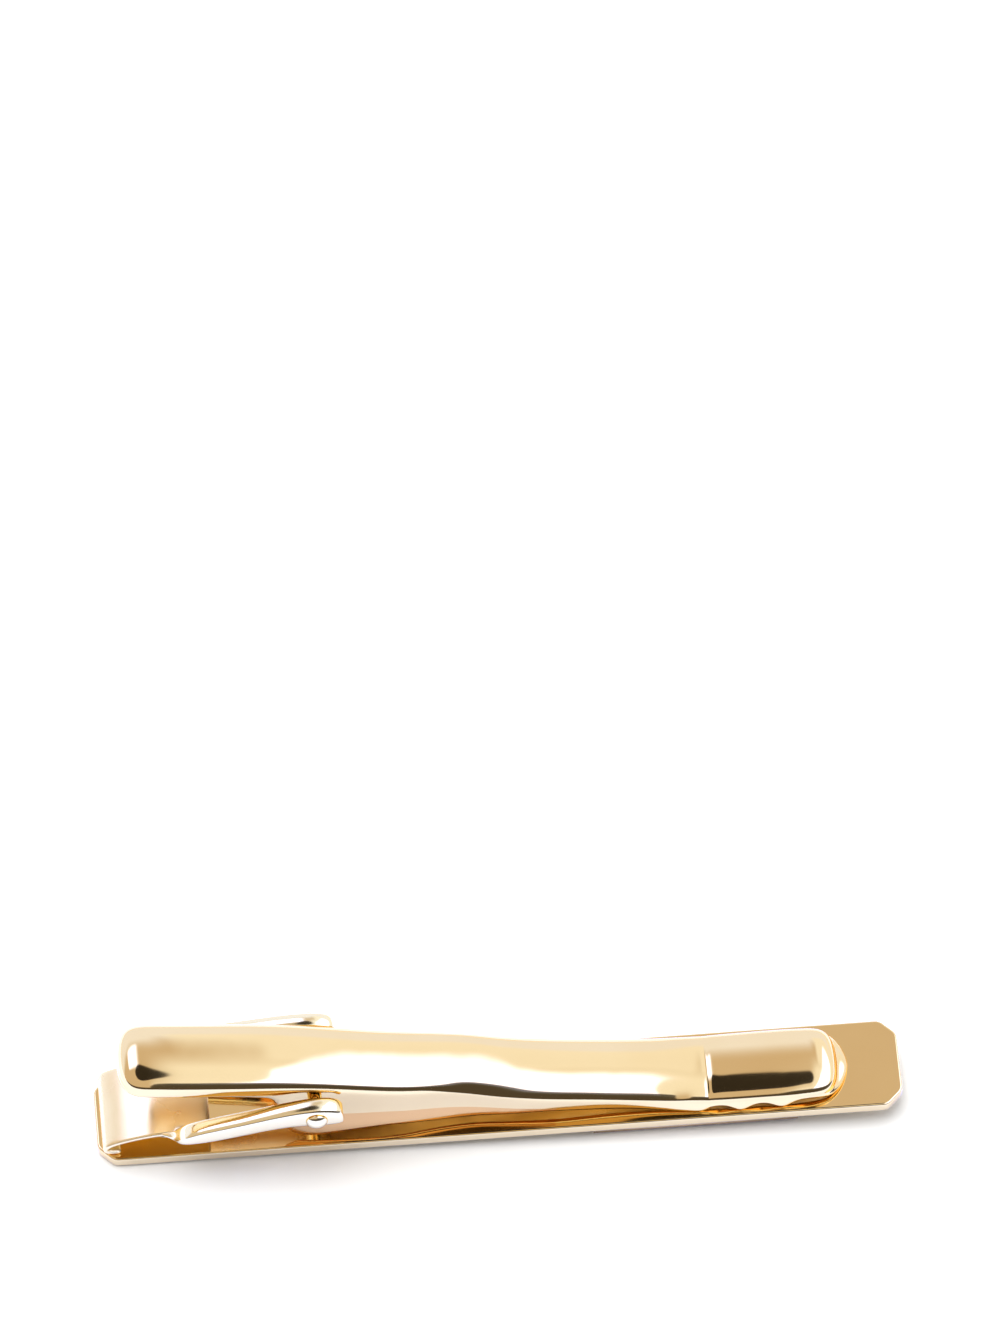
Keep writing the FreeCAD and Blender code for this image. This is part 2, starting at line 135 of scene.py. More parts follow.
def gilt(name, colour, dull_colour, roughness, wave_mm, wave_depth, hairline_depth):
    """Gold plate on brass: a tinted mirror with wavy polish, hairlines and slightly duller clouds."""
    material, tree, output = new_material(name)
    place = add_node(tree, "ShaderNodeTexCoord").outputs["Object"]
    # Noise counts in features per metre, so a size in millimetres is turned over
    clouds = add_node(tree, "ShaderNodeTexNoise", inputs={
        "Vector": place, "Scale": 1 / (CLOUD_MM * MM), "Detail": 3.0, "Roughness": 0.55}).outputs["Fac"]
    tint = add_node(tree, "ShaderNodeMix", {"data_type": "RGBA"}, {
        "Factor": clouds, "A": linear(colour), "B": linear(dull_colour)})
    dull = add_node(tree, "ShaderNodeMapRange", inputs={
        "Value": clouds, "From Min": CLEAR, "From Max": CLOUDY,
        "To Min": roughness * SHINIEST, "To Max": roughness * DULLEST})
    waves = add_node(tree, "ShaderNodeTexNoise", inputs={
        "Vector": place, "Scale": 1 / (wave_mm * MM), "Detail": 1.0}).outputs["Fac"]
    along = add_node(tree, "ShaderNodeMapping", inputs={
        "Vector": place, "Scale": (1 / HAIRLINE_STRETCH, 1.0, 1.0)})
    hairlines = add_node(tree, "ShaderNodeTexNoise", inputs={
        "Vector": along.outputs["Vector"], "Scale": 1 / (HAIRLINE_MM * MM), "Detail": 2.0}).outputs["Fac"]
    wavy = add_node(tree, "ShaderNodeBump", inputs={
        "Strength": 1.0, "Distance": wave_depth * MM, "Height": waves})
    scored = add_node(tree, "ShaderNodeBump", inputs={
        "Strength": 1.0, "Distance": hairline_depth * MM, "Height": hairlines,
        "Normal": wavy.outputs["Normal"]})
    plating = add_node(tree, "ShaderNodeBsdfPrincipled", inputs={
        "Base Color": tint.outputs["Result"], "Metallic": 1.0, "Roughness": dull.outputs["Result"],
        "Specular Tint": linear(GRAZING_TINT), "Normal": scored.outputs["Normal"]})
    tree.links.new(plating.outputs["BSDF"], output.inputs["Surface"])
    return material


# Each finish is a colour, a duller colour and a roughness, then in mm the size and depth of the waves and
# the depth of the hairlines

# Buffed on the wheel: a near mirror, so the room shows in it as crisp bright and dark shapes
gilt_polished = gilt("gold_plated_polished_brass", "#F3CB76", "#EDC26C", 0.06, 3.0, 0.012, 0.00025)
# Tumbled: the same shapes with soft edges, and a paler gold
gilt_spring = gilt("pale_gold_plated_spring_brass", "#FCDB88", "#F4CB78", 0.26, 1.6, 0.012, 0.0006)
# Rougher and browner on the skirt's foot: a tan band with no crisp shapes in it.
# Its brown is painted shade, for the shaded table that the foot mirrors
gilt_painted_shade = gilt("gold_plated_brass_painted_shade", "#E9AE5A", "#E1A452", 0.14, 1.6, 0.012, 0.0006)
# Rubbed with a burnisher: nearly white where it faces the light, with a soft rim
gilt_arms = gilt("gold_plated_burnished_brass", "#F9DC8C", "#F2D080", 0.12, 1.6, 0.012, 0.0004)
# A flash of gold on raw sheet: a yellow glow without a picture in it, as inside a ring.
# Its brighter, yellower gold is painted light, so the inside of the bend doesn't go dark
gilt_inside = gilt("gold_flash_painted_light", "#FFE58E", "#F5D074", 0.36, 1.6, 0.012, 0.0012)
# The same flash on the underside of the lever, painted pale as painted light, so the hollow stays light
# under the skirts
gilt_hollow = gilt("pale_gold_flash_painted_light", "#FFECC4", "#F8DEAC", 0.28, 1.6, 0.012, 0.0012)
# Brushed before plating: one quiet, broad sheen
gilt_plaque = gilt("gold_plated_satin_brass", "#D9B06A", "#B98F52", 0.30, 2.0, 0.008, 0.0012)
print("finishes:", [m.name for m in bpy.data.materials])

# %% [markdown]
# ## Measuring as on a drawing
# The pieces are described as a maker would: how far along the bar from its thumb end, how far to the
# side, and how high above the back of the bar, in millimetres. One function turns that into a point.
# Shapes that change along the clip are written as short tables of stations, and a second function eases
# from station to station, as a draughtsman's spline does.

# %% Helpers for places and shapes
SHEET = 0.42
NEAR = MM / 1000
# A piece's finishes are numbered: 0 is the outside
INSIDE, PATCH = 1, 2


def spot(reach, side, height):
    """A point from a reach along the bar, a distance to its side and a height over its back, in mm."""
    return Vector((bar_low.x + reach * MM, side * MM, bar_high.z + height * MM))


def reach_of(point):
    """How far along the bar a point lies, in mm."""
    return (point.x - bar_low.x) / MM


def between(stations, reach):
    """The values of a table of stations at a reach, eased smoothly from station to station."""
    reach = min(max(reach, stations[0][0]), stations[-1][0])
    last = len(stations) - 1
    here = next((k for k in range(last - 1) if reach < stations[k + 1][0]), last - 1)
    before, start, end, after = (stations[min(max(here + k, 0), last)] for k in (-1, 0, 1, 2))
    run = end[0] - start[0]
    t = (reach - start[0]) / run
    values = []
    for a, b, c, d in zip(before[1:], start[1:], end[1:], after[1:]):
        leave = (c - a) / (end[0] - before[0]) * run
        arrive = (d - b) / (after[0] - start[0]) * run
        values.append(b * (2 * t ** 3 - 3 * t ** 2 + 1) + leave * (t ** 3 - 2 * t ** 2 + t)
                      + c * (3 * t ** 2 - 2 * t ** 3) + arrive * (t ** 3 - t ** 2))
    return values if len(values) > 1 else values[0]


def finish_piece(name, bm, material, body, node=None, wall=None, inside=None, patch=None, levels=0):
    """Turn a bmesh into a piece: a sheet's wall, inside and patch finishes, smoothing, slot, body, node."""
    mesh = bpy.data.meshes.new(name)
    bm.to_mesh(mesh)
    bm.free()
    piece = bpy.data.objects.new(name, mesh)
    bpy.context.scene.collection.objects.link(piece)
    mesh.materials.append(material)
    if wall:
        mesh.shade_smooth()
        sheet = piece.modifiers.new("sheet", "SOLIDIFY")
        sheet.thickness = wall * MM
        sheet.offset = -1
        sheet.use_even_offset = True
        if inside:
            mesh.materials.append(inside)
            sheet.material_offset = INSIDE
    if patch:
        mesh.materials.append(patch)
    if levels:
        smoothing = piece.modifiers.new("smoothing", "SUBSURF")
        smoothing.levels = smoothing.render_levels = levels
    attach(piece, body)
    if node:
        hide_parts(node)
    print(f"{name}: {len(mesh.vertices)} points, {len(mesh.polygons)} faces before smoothing")


print("the back of the bar is at", [round(c / MM, 2) for c in spot(0, 0, 0)])

# %% [markdown]
# ## The bar
# The bar is a strip cut from sheet, its four corners clipped off and its edges just broken. A cube
# scaled to the solid's box, with its upright edges bevelled flat and its rims bevelled round, is all it
# takes. The large faces stay flat shaded, so that they mirror like plate glass, and only the narrow
# bevels are smooth.

# %% Make the bar
BAR_CORNER, BAR_RIM = 1.15, 0.15
CORNER_SOFTENING = 0.28
FLAT_CUT, CORNER_ROUNDS, RIM_ROUNDS = 1, 3, 4
LARGE_FACE, LEVEL = 8 * MM * MM, 0.999


def clipped_plate(low, high, corner_mm, rim_mm, rim_heights):
    """A flat plate between two corners of a box, its upright edges clipped and its rims rounded."""
    bm = bmesh.new()
    bmesh.ops.create_cube(bm, size=1.0)
    bmesh.ops.scale(bm, vec=high - low, verts=bm.verts)
    bmesh.ops.translate(bm, vec=(high + low) / 2, verts=bm.verts)
    cuts = ((corner_mm, FLAT_CUT), (corner_mm * CORNER_SOFTENING, CORNER_ROUNDS)) if corner_mm else ()
    for offset, rounds in cuts:
        upright = [e for e in bm.edges if abs(e.verts[0].co.z - e.verts[1].co.z) > (high.z - low.z) / 2]
        bmesh.ops.bevel(bm, geom=upright, offset=offset * MM, affect="EDGES", segments=rounds,
                        profile=0.5, material=-1)
    rims = [e for e in bm.edges
            if any(all(abs(v.co.z - h) < NEAR for v in e.verts) for h in rim_heights)]
    bmesh.ops.bevel(bm, geom=rims, offset=rim_mm * MM, affect="EDGES", segments=RIM_ROUNDS,
                    profile=0.5, material=-1)
    for face in bm.faces:
        face.smooth = face.calc_area() < LARGE_FACE and abs(face.normal.z) < LEVEL
    return bm


finish_piece(
    "flat_bar", clipped_plate(bar_low, bar_high, BAR_CORNER, BAR_RIM, (bar_low.z, bar_high.z)),
    gilt_polished, "clip_back", "front_bar")

# %% [markdown]
# ## The plate on the front
# The front of the bar carries a plain satin plate, a little narrower than the bar. It faces the table
# here and lifts the jaw end of the clip. It is made as the bar is, with a rounder front rim.

# %% Make the front plate
SQUARE_CORNER, PLATE_RIM = 0.0, 0.2
plaque_low, plaque_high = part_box("front_plaque")
finish_piece(
    "front_plate", clipped_plate(plaque_low, plaque_high, SQUARE_CORNER, PLATE_RIM, (plaque_low.z,)),
    gilt_plaque, "clip_back", "front_plaque")

# %% [markdown]
# ## The lever
# The lever is pressed from one sheet: a crowned thumb pad at the high end, a waist, and a pillowed jaw
# whose splayed skirts end in three teeth a side. The fold between crown and skirt runs right round both
# ends. It could be carved from a block, but a pressed sheet is one smooth skin, so a flat grid is bent
# into the crown, the grid's border is pulled down into the skirts, and the sheet gets its thickness last.
# The table gives, at each reach: the crown's height, half its width at the fold, the fall from the crown
# to the fold, how square the section is, how wide a shoulder the polisher has worn on the near fold, and
# how far the middle line wanders to the side.

# %% The lever's stations
LEVER = (
    # reach, crown, half width, fall, squareness, near shoulder, wander
    (1.7, 8.68, 2.72, 1.14, 2.4, 0.14, 0.18),
    (3.0, 8.67, 2.72, 1.14, 2.4, 0.36, 0.18),
    (4.5, 8.61, 2.72, 1.14, 2.4, 0.50, 0.16),
    (6.0, 8.48, 2.72, 1.14, 2.4, 0.52, 0.10),
    (11.0, 7.93, 2.72, 1.14, 2.4, 0.50, 0.05),
    (13.5, 7.62, 2.70, 1.16, 2.3, 0.44, 0.03),
    (16.0, 7.15, 2.66, 1.20, 2.3, 0.34, 0.02),
    (20.0, 6.20, 2.62, 1.20, 2.3, 0.24, 0.0),
    (22.0, 5.71, 2.59, 1.20, 2.4, 0.22, 0.03),
    (23.4, 5.37, 2.52, 1.10, 2.4, 0.32, 0.10),
    (24.8, 5.03, 2.45, 0.96, 2.4, 0.62, 0.14),
    (26.7, 4.57, 2.41, 0.90, 2.4, 0.90, 0.16),
    (28.2, 4.21, 2.44, 1.00, 2.4, 0.94, 0.10),
    (29.7, 3.87, 2.50, 1.12, 2.3, 0.76, 0.04),
    (32.0, 3.46, 2.56, 1.20, 2.1, 0.62, 0.0),
    (36.0, 2.87, 2.58, 1.20, 1.95, 0.50, -0.02),
    (40.0, 2.29, 2.62, 1.15, 1.95, 0.50, -0.05),
    (41.6, 2.06, 2.68, 1.08, 2.1, 0.40, -0.07),
    (42.7, 1.905, 2.71, 1.04, 2.3, 0.16, -0.09),
    (43.35, 1.84, 2.73, 1.02, 2.3, 0.10, -0.09),
    (43.62, 1.805, 2.74, 1.02, 2.3, 0.08, -0.09),
    (43.88, 1.86, 2.75, 1.05, 2.3, 0.08, -0.1),
    (45.0, 1.88, 2.78, 1.08, 2.3, 0.12, -0.1),
    (47.5, 1.90, 2.80, 1.08, 2.3, 0.14, -0.1),
    (49.5, 1.90, 2.80, 1.08, 2.3, 0.14, -0.1),
    (51.0, 1.89, 2.74, 1.08, 2.3, 0.12, -0.08),
    (53.2, 1.86, 2.66, 1.12, 2.3, 0.12, -0.06),
)
SHOULDER_SLOPE = 1.0
# Each end: its reach, the run of its rounding and how square its corners are
PAD_END, PAD_END_RUN, PAD_END_SQUARE = 1.75, 1.7, 2.3
JAW_END, JAW_END_RUN, JAW_END_SQUARE = 52.95, 1.7, 2.6
ROUND_THE_FOLD = [math.radians(angle) for angle in (0, 20, 38, 53, 65, 75, 83, 90)]
COLUMN_STEP, FINE_STEP, CREASE = 1.05, 0.4, 43.62
# Columns are wide apart up to the jaw, closer before and after the crease, and closest in it
WIDE_END, FINE_START, CREASE_LEAD, CREASE_LAG = 41.0, 41.5, 0.6, 1.0
IN_THE_CREASE = (-0.35, -0.2, -0.1, 0.0, 0.1, 0.2, 0.35, 0.6)


def columns_from(start, end, step):
    """Reaches from start to end, both included, in equal steps of about the given size."""
    count = round((end - start) / step)
    return [start + (end - start) * k / count for k in range(count + 1)]


MIDDLE = (columns_from(PAD_END + PAD_END_RUN, WIDE_END, COLUMN_STEP)
          + columns_from(FINE_START, CREASE - CREASE_LEAD, FINE_STEP)
          + [CREASE + offset for offset in IN_THE_CREASE]
          + columns_from(CREASE + CREASE_LAG, JAW_END - JAW_END_RUN, FINE_STEP))
print(len(MIDDLE), "columns between the ends, from", MIDDLE[0], "to", round(MIDDLE[-1], 2))

# %% [markdown]
# ### Bending the grid into the crown
# Each column of the grid is a slice across the lever and each row runs along it. Across a slice the rows
# follow a quarter of a squared ellipse to each side, close together at the fold. The columns of the two
# ends do the same along the lever, and where both meet, at the corners, the grid is eased round.

# %% Shape the lever's crown
def bent_sheet(columns, rows, place):
    """A grid of columns by rows, bent so that each crossing lies where place puts it."""
    bm = bmesh.new()
    bmesh.ops.create_grid(bm, x_segments=len(columns) - 1, y_segments=len(rows) - 1, size=1.0)
    for vert in bm.verts:
        column = columns[round((vert.co.x + 1) / 2 * (len(columns) - 1))]
        row = rows[round((vert.co.y + 1) / 2 * (len(rows) - 1))]
        vert.co = place(column, row)
    bm.normal_update()
    return bm


def crown_spot(column, row):
    """The point of the crown on a column, at an angle round the fold on one side."""
    start, run, end_angle = column
    side, angle = row
    square = between(LEVER, start)[3]
    across, along = (math.sin(a) ** (2 / square) for a in (angle, end_angle))
    edge = PAD_END_SQUARE if run < 0 else JAW_END_SQUARE
    outward = min(max(across, along), 1.0)
    ease = outward / (across ** edge + along ** edge) ** (1 / edge) if outward else 1.0
    reach = start + run * along * ease
    crown, half_width, fall, square, shoulder, wander = between(LEVER, reach)

    def drop(share):
        return fall * (1 - (1 - share ** square) ** (1 / square))

    # The shoulder is a flat worn across the fold, from where it starts on the crown
    worn = shoulder - (1 - across) * half_width
    fallen = drop(outward)
    if side < 0 and worn > 0:
        fallen = max(fallen, drop(1 - shoulder / half_width) + SHOULDER_SLOPE * worn)
    return spot(reach, wander + side * half_width * across * ease, crown - fallen)


# A column is where its end zone starts, the run from there to the end, and the angle round the end's fold
columns = ([(PAD_END + PAD_END_RUN, -PAD_END_RUN, angle) for angle in reversed(ROUND_THE_FOLD[1:])]
           + [(reach, 0.0, 0.0) for reach in MIDDLE]
           + [(JAW_END - JAW_END_RUN, JAW_END_RUN, angle) for angle in ROUND_THE_FOLD[1:]])
rows = [(-1, a) for a in reversed(ROUND_THE_FOLD[1:])] + [(1, a) for a in ROUND_THE_FOLD]
lever = bent_sheet(columns, rows, crown_spot)
print("crown:", len(lever.faces), "faces, top at",
      round((max(v.co.z for v in lever.verts) - bar_high.z) / MM, 2), "mm over the bar")

# %% [markdown]
# ### Pulling down the skirts
# The border of the crown is extruded down to a rim. Under the thumb pad the rim is all there is, so that
# the pad can be pressed; from the heel on, the rim is extruded once more, down to the bar. The foot of
# that skirt is a curve of its own: a rounded heel, a low arch, three teeth and a lifted tip. The deep part
# from the heel on runs out a little towards its foot, and up to the middle of the lever its foot band is
# rougher and a browner gold, whose brown is painted shade for the shaded table that it mirrors. Towards
# the jaw the skirts splay outwards, and at the very end they are drawn out to a blunt point.

# %% Pull down the lever's skirts
# Each station is a reach and the rim's height there
RIM = ((1.7, 7.2), (6.0, 6.62), (13.1, 5.15), (14.5, 3.9), (17.0, 2.7), (20.6, 2.45), (24.5, 2.0),
       (28.6, 1.42), (33.0, 1.05), (38.0, 0.85), (43.6, 0.70), (50.0, 0.70), (53.6, 0.60))
# Splay is a slope: how far the skirt runs out for each millimetre down, first to the rim, then to the foot
RIM_SPLAY = ((1.2, 0.55), (5.0, 0.25), (10.0, 0.0), (34.0, 0.0), (38.0, 0.05), (43.6, 0.50), (48.8, 0.50),
             (50.4, 0.25), (51.6, 0.25), (52.4, 0.4), (53.6, 0.4))
FOOT_SPLAY = ((13.1, 0.0), (17.0, 0.24), (22.0, 0.24), (28.6, 0.24), (32.5, 0.15), (36.0, 0.0), (39.0, 0.05),
              (43.6, 0.50), (48.8, 0.50), (50.4, 0.25), (51.6, 0.25), (52.4, 1.1), (53.6, 2.3))
# The jaw's point: the extra splay in its middle, half its width and where it starts
POINT_FLARE, POINT_HALF_WIDTH, POINT_START = 1.3, 2.2, 52.0
HEEL, HEEL_ROUND, HEEL_LIFT, HEEL_LEAD = 13.1, 1.6, 0.15, 0.6
TEETH = (42.9, 45.85, 48.8)
TOOTH_PITCH = TEETH[1] - TEETH[0]
TOOTH_TIP, TOOTH_DEPTH, TOOTH_SHARPNESS = 0.03, 0.56, 1.2
ARCH = ((HEEL + HEEL_ROUND, HEEL_LIFT), (17.0, 0.55), (20.6, 0.86), (24.5, 0.60), (28.6, 0.62), (32.5, 0.80),
        (35.0, 0.60), (38.0, 0.36), (40.5, 0.16), (TEETH[0], TOOTH_TIP))
LIFTED_TIP = ((TEETH[-1], TOOTH_TIP), (49.4, 0.3), (50.1, 0.56), (51.5, 0.5), (53.6, 0.34))
# Up to this reach the skirt's foot band takes the browner gold, which is painted shade
PAINTED_SHADE_END = 33.0


def skirt_foot(reach):
    """The height of the skirt's lower edge over the bar: heel, arch, teeth and the lifted tip."""
    if reach < HEEL + HEEL_ROUND:
        lean = min(HEEL + HEEL_ROUND - reach, HEEL_ROUND)
        return HEEL_LIFT + HEEL_ROUND - math.sqrt(HEEL_ROUND ** 2 - lean ** 2)
    if reach < TEETH[0]:
        return between(ARCH, reach)
    if reach < TEETH[-1]:
        phase = (reach - TEETH[0]) / TOOTH_PITCH % 1.0
        return TOOTH_TIP + TOOTH_DEPTH * math.sin(math.pi * phase) ** TOOTH_SHARPNESS
    return between(LIFTED_TIP, reach)


def slope_under(point, splay):
    """How steeply the skirt runs out under a point, with the flare of the jaw's point."""
    flare = max(0.0, 1 - abs(point.y / MM) / POINT_HALF_WIDTH) if reach_of(point) > POINT_START else 0.0
    return between(splay, reach_of(point)) + POINT_FLARE * flare


def extrude_border(bm, edges, drop_to, splay):
    """Extrude border edges and move the new points down to a height and out by the splay."""
    bm.normal_update()
    outward = {v.co.copy().freeze(): Vector((v.normal.x, v.normal.y, 0)).normalized()
               for e in edges for v in e.verts}
    made = bmesh.ops.extrude_edge_only(bm, edges=edges)["geom"]
    for vert in (item for item in made if isinstance(item, bmesh.types.BMVert)):
        fall = vert.co.z - spot(0, 0, drop_to(reach_of(vert.co))).z
        run = slope_under(vert.co, splay) * fall
        vert.co += outward[vert.co.copy().freeze()] * run - Vector((0, 0, fall))
    return [item for item in made if isinstance(item, bmesh.types.BMEdge)]


border = [edge for edge in lever.edges if edge.is_boundary]
rim = extrude_border(lever, border, lambda reach: between(RIM, reach), RIM_SPLAY)
rim = [edge for edge in rim
       if edge.is_boundary and min(reach_of(v.co) for v in edge.verts) > HEEL - HEEL_LEAD]
foot = extrude_border(lever, rim, skirt_foot, FOOT_SPLAY)
# The foot band gets the painted shade finish
for face in (edge.link_faces[0] for edge in foot if edge.is_boundary):
    if reach_of(face.calc_center_median()) < PAINTED_SHADE_END:
        face.material_index = PATCH
# Polished gold outside, a hollow painted pale as painted light, and a foot band browned as painted shade
finish_piece("pressed_lever", lever, gilt_polished, "lever", "jaw_lever",
             wall=SHEET, inside=gilt_hollow, patch=gilt_painted_shade, levels=2)

# %% [markdown]
# ## The spring bracket
# The bracket is one strip of thin spring sheet. Its foot is a narrow tab soldered to the bar, it bends up
# round the thumb end, runs back as a leaf and ends in a tongue, with an arm cut free on each side. The
# strip is a grid bent along a few points of the bend; what is cut away beside the tab and the tongue is
# faces taken out. Nobody polishes the inside of the bend, so that side has a rougher finish.

# %% Make the bracket's strip
# Each station is a reach and a height, from the end of the foot round the bend to the end of the tongue
STRIP = ((7.6, 0.0), (5.0, 0.0), (3.0, 0.0), (1.7, 0.0), (0.8, 0.06), (0.42, 0.32), (0.36, 0.75),
         (0.5, 1.1), (0.9, 1.43), (1.5, 1.72), (2.2, 1.97), (3.0, 2.2), (3.9, 2.41), (4.7, 2.5),
         (5.6, 2.52), (6.2, 2.52), (7.3, 2.5), (7.8, 2.46), (8.15, 2.3))
SLIT_START, SLIT_SIDE = 5.9, 2.8
FOOT_START, FOOT_SIDE = 1.7, 1.4
STRIP_SIDE = 3.1
SIDES = (-STRIP_SIDE, -SLIT_SIDE, -FOOT_SIDE, 0.0, FOOT_SIDE, SLIT_SIDE, STRIP_SIDE)
# What lies higher than this belongs to the leaf, and the rest to the foot and the bend
LEAF_FROM = 1
strip = bent_sheet(STRIP, SIDES, lambda bend, side: spot(bend[0], side, bend[1]))
waste = []
for face in strip.faces:
    middle = face.calc_center_median()
    on_leaf = middle.z > spot(0, 0, LEAF_FROM).z
    start, side = (SLIT_START, SLIT_SIDE) if on_leaf else (FOOT_START, FOOT_SIDE)
    if reach_of(middle) > start and abs(middle.y) > side * MM:
        waste.append(face)
bmesh.ops.delete(strip, geom=waste, context="FACES")
# The inside of the strip takes the brighter gold that is painted light
finish_piece("spring_strip", strip, gilt_spring, "clip_back", "spring_bracket",
             wall=SHEET, inside=gilt_inside, levels=2)

# %% [markdown]
# ### The two arms
# Beside the tongue the edges of the leaf flare out, turn up in a short steep ramp and run on as arms, each
# folded to an angle section so that it stays stiff: a flange on top with an outer wall hanging from it.
# The arms climb gently to the pivot, draw in a little and end in a rounded nose. Each arm is a grid again,
# with a column for each station and a row for each point across the section. The flange is a little
# crowned, and the arms are burnished brighter than the leaf.

# %% Make the arms
ARMS = (
    # reach, outer side, top, depth of the wall, inner side, radius of the fold
    (4.4, 3.08, 2.46, 0.12, 2.84, 0.05),
    (5.0, 3.26, 2.48, 0.22, 2.84, 0.10),
    (5.4, 3.60, 2.62, 0.28, 2.86, 0.12),
    (5.75, 4.16, 3.16, 0.42, 2.92, 0.16),
    (6.1, 4.40, 3.74, 0.84, 3.02, 0.20),
    (6.8, 4.47, 4.28, 1.38, 3.14, 0.22),
    (8.0, 4.45, 4.60, 1.60, 3.10, 0.22),
    (9.5, 4.38, 4.87, 1.65, 3.06, 0.24),
    (11.0, 4.32, 5.20, 1.68, 3.02, 0.26),
    (12.5, 4.26, 5.55, 1.76, 2.98, 0.30),
    (14.0, 4.22, 5.84, 1.92, 2.93, 0.36),
    (15.2, 4.21, 5.97, 2.10, 2.86, 0.42),
    (16.2, 4.21, 5.93, 2.12, 2.84, 0.46),
    (17.0, 4.19, 5.68, 1.82, 2.84, 0.48),
    (17.38, 4.14, 5.28, 1.26, 2.88, 0.46),
    (17.52, 4.06, 4.88, 0.70, 2.95, 0.40),
)
FLANGE_CROWN, INNER_DROP = 0.03, 0.10
ACROSS_ARM = ("wall foot", "wall middle", "wall top", "fold", "flange start", "flange middle", "inner edge")


def arm_spot(station, point, side):
    """A point across an arm's section at a station, on the near side (-1) or the far side (1)."""
    reach, outer, top, depth, inner, fold = station
    fold = min(fold, depth)
    turned = fold * (1 - math.sqrt(0.5))
    out, height = {
        "wall foot": (outer, top - depth), "wall middle": (outer, top - (fold + depth) / 2),
        "wall top": (outer, top - fold), "fold": (outer - turned, top - turned),
        "flange start": (outer - fold, top),
        "flange middle": ((outer - fold + inner) / 2, top + FLANGE_CROWN),
        "inner edge": (inner, top - INNER_DROP)}[point]
    return spot(reach, side * out, height)


for name, side, across in (("near_spring_arm", -1, ACROSS_ARM), ("far_spring_arm", 1, ACROSS_ARM[::-1])):
    arm = bent_sheet(ARMS, across, lambda station, point: arm_spot(station, point, side))
    finish_piece(name, arm, gilt_arms, "clip_back", wall=SHEET, levels=2)

# %% [markdown]
# ## The pivot pin
# The pin is turned: a shank with a low domed head on each arm. Its outline is a few points from one head
# to the other, spun a full turn round the axis of the pivot.

# %% Make the pin
pin_low, pin_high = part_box("pivot_pin")
pin_axis = (pin_low + pin_high) / 2
# Each point of the outline is a radius and a distance from the middle of the pin
PIN = ((0.0, 4.64), (0.35, 4.6), (0.62, 4.47), (0.78, 4.29), (0.78, 4.2), (0.5, 4.18), (0.5, 2.0))
TURN_STEPS = 32
pin = bmesh.new()
outline = list(PIN) + [(r, -s) for r, s in reversed(PIN)]
points = [pin.verts.new(pin_axis + Vector((r * MM, s * MM, 0))) for r, s in outline]
turned = [pin.edges.new(pair) for pair in zip(points, points[1:])]
bmesh.ops.spin(pin, geom=points + turned, cent=pin_axis, axis=(0, 1, 0), angle=math.tau, steps=TURN_STEPS,
               use_merge=True)
bmesh.ops.remove_doubles(pin, verts=pin.verts, dist=NEAR)
bmesh.ops.recalc_face_normals(pin, faces=pin.faces)
for face in pin.faces:
    face.smooth = True
finish_piece("turned_pin", pin, gilt_arms, "clip_back", "pivot_pin", levels=1)

# %% [markdown]
# ## The table
# The clip lies on a plain white table. It touches with the thumb end of the bar and with the edge of the
# plate on its front, so the table is a plane through those two lines, a degree off the bar. For the
# camera the table is as white as the paper behind it, and it still takes the clip's shadow.

# %% Make the table
TABLE_HALF_SIZE, TABLE_GAP = 3.0, 0.01 * MM
MIRRORED_PAPER, MIRRORED_GAIN = "#8FA3FF", 3.3
touch_bar, touch_plate = Vector((bar_low.x, 0, bar_low.z)), Vector((plaque_low.x, 0, plaque_low.z))
slope = math.atan2(touch_plate.z - touch_bar.z, touch_plate.x - touch_bar.x)
table = bmesh.new()
bmesh.ops.create_grid(table, x_segments=1, y_segments=1, size=TABLE_HALF_SIZE)
bmesh.ops.rotate(table, matrix=Matrix.Rotation(-slope, 3, "Y"), verts=table.verts)
bmesh.ops.translate(table, vec=touch_bar - Vector((0, 0, TABLE_GAP)), verts=table.verts)
table_mesh = bpy.data.meshes.new("white_table")
table.to_mesh(table_mesh)
table.free()
white_table = bpy.data.objects.new("white_table", table_mesh)
bpy.context.scene.collection.objects.link(white_table)

paper, tree, output = new_material("matt_white_paper")
path = add_node(tree, "ShaderNodeLightPath").outputs
# The camera sees clean white paper, and what the paper gives back to the clip is a little greyer
shown = add_node(tree, "ShaderNodeMix", {"data_type": "RGBA"}, {
    "Factor": path["Is Camera Ray"], "A": linear("#E6E6E6"), "B": linear("#FFFFFF")})
matt = add_node(tree, "ShaderNodeBsdfDiffuse", inputs={"Color": shown.outputs["Result"]})
# Gold swallows blue, so the paper that the metal mirrors is bright and bluish, to come back as a warm white
mirrored = add_node(tree, "ShaderNodeBsdfDiffuse", inputs={"Color": linear(MIRRORED_PAPER, MIRRORED_GAIN)})
choose = add_node(tree, "ShaderNodeMixShader", inputs={
    "Fac": path["Is Glossy Ray"], 1: matt.outputs["BSDF"], 2: mirrored.outputs["BSDF"]})
tree.links.new(choose.outputs["Shader"], output.inputs["Surface"])
table_mesh.materials.append(paper)
print("the table leans", round(math.degrees(slope), 2), "degrees under the clip")

# %% [markdown]
# ## The studio
# Polished gold shows its surroundings, so the room is part of the finish. One large lamp, nearly overhead
# and a little behind the clip, lights the paper and leaves a soft shadow close under the clip. The metal
# doesn't mirror the lamp. What it mirrors is painted on the world by direction, which gives soft boxes
# with soft edges: a wide box on the right and a smaller one on the left, with a haze of light between
# them, grey walls, a dark side behind the camera, and a black card over the table.

# %% Hang the lamp
LAMP_TOWARD = Vector((-0.25, 0.20, 0.95))
